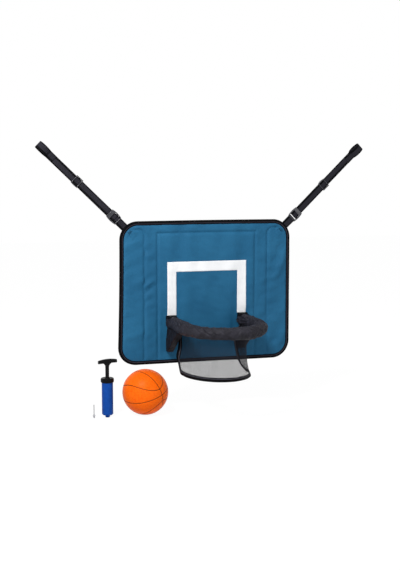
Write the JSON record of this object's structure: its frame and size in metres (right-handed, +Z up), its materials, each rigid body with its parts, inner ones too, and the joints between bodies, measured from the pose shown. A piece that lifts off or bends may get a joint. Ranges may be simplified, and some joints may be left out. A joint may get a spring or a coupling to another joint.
{
  "type": "hanging basketball hoop",
  "caption": "Soft fabric basketball board hung by two buckled straps, with a padded fold-up rim, mesh skirt, mini ball, hand pump and inflating needle.",
  "frame": {"origin": "middle of the line between the two strap loops' eyes, in the board's mid-plane", "axes": "+Z up, +X along the board to the right as a player sees it, and the rim points to -Y"},
  "size_m": [1.0862, 0.3903, 0.8629],
  "materials": {
    "board_fabric": "coated polyester weave",
    "board_foam": "foam sheet",
    "batten_plastic": "plain",
    "binding_tape": "ribbed tape",
    "target_ink": "printed",
    "webbing": "ribbed webbing",
    "buckle_plastic": "moulded",
    "sleeve_fabric": "gathered polyester",
    "rim_foam": "foam",
    "core_steel": "plain",
    "plug_plastic": "moulded",
    "net_mesh": "fine mesh",
    "ball_rubber": "pebbled",
    "black_rubber": "plain",
    "pump_blue": "moulded",
    "pump_black": "moulded",
    "piston_plastic": "moulded",
    "needle_steel": "polished"
  },
  "bodies": {
    "straps": {"left_webbing": "webbing", "left_ladder_lock": "buckle_plastic", "left_tab_loop": "webbing", "right_webbing": "webbing", "right_ladder_lock": "buckle_plastic", "right_tab_loop": "webbing"},
    "board": {"front_panel": "board_fabric", "back_panel": "board_fabric", "centre_pad": "board_foam", "left_side_pad": "board_foam", "right_side_pad": "board_foam", "left_batten": "batten_plastic", "right_batten": "batten_plastic", "edge_binding": "binding_tape", "target_print": "target_ink", "left_rim_patch": "sleeve_fabric", "right_rim_patch": "sleeve_fabric", "left_tab_anchor": "webbing", "right_tab_anchor": "webbing"},
    "rim": {"rim_core": "core_steel", "left_core_plug": "plug_plastic", "right_core_plug": "plug_plastic", "rim_foam": "rim_foam", "rim_cover": "sleeve_fabric", "left_wedge": "sleeve_fabric", "right_wedge": "sleeve_fabric", "left_hinge_flap": "sleeve_fabric", "right_hinge_flap": "sleeve_fabric", "net_mesh": "net_mesh", "net_binding": "binding_tape"},
    "left_keeper": {"left_tri_glide": "buckle_plastic"},
    "right_keeper": {"right_tri_glide": "buckle_plastic"},
    "ball": {"ball_shell": "ball_rubber", "ball_valve": "black_rubber"},
    "pump": {"pump_barrel": "pump_blue", "pump_cap": "pump_black", "pump_nozzle": "pump_blue", "pump_check_valve": "black_rubber"},
    "plunger": {"pump_handle": "pump_black", "pump_rod": "pump_black", "pump_piston": "piston_plastic", "piston_seal": "black_rubber"},
    "needle": {"needle_tube": "needle_steel", "needle_hub": "needle_steel"}
  },
  "joints": [
    {"name": "board_swing", "type": "hinge", "parent": "straps", "child": "board", "pos_m": [0, 0, -0.23865], "axis": [-1, 0, 0], "range_deg": [0, 35]},
    {"name": "rim_fold", "type": "hinge", "parent": "board", "child": "rim", "pos_m": [0, -0.005, -0.52503], "axis": [-1, 0, 0], "range_deg": [0, 85]},
    {"name": "left_keeper_slide", "type": "slide", "parent": "straps", "child": "left_keeper", "axis": [-0.7193, 0, 0.6947], "range_m": [-0.125, 0.08]},
    {"name": "right_keeper_slide", "type": "slide", "parent": "straps", "child": "right_keeper", "axis": [0.7193, 0, 0.6947], "range_m": [-0.106, 0.099]},
    {"name": "ball_lift", "type": "slide", "parent": "straps", "child": "ball", "axis": [0, -0.9397, 0.342], "range_m": [0, 0.12]},
    {"name": "pump_lift", "type": "slide", "parent": "straps", "child": "pump", "axis": [0, 0, 1], "range_m": [0, 0.15]},
    {"name": "plunger_slide", "type": "slide", "parent": "pump", "child": "plunger", "axis": [0, 0, 1], "range_m": [-0.0315, 0.06]},
    {"name": "needle_lift", "type": "slide", "parent": "straps", "child": "needle", "axis": [0, 0, 1], "range_m": [0, 0.1]}
  ]
}
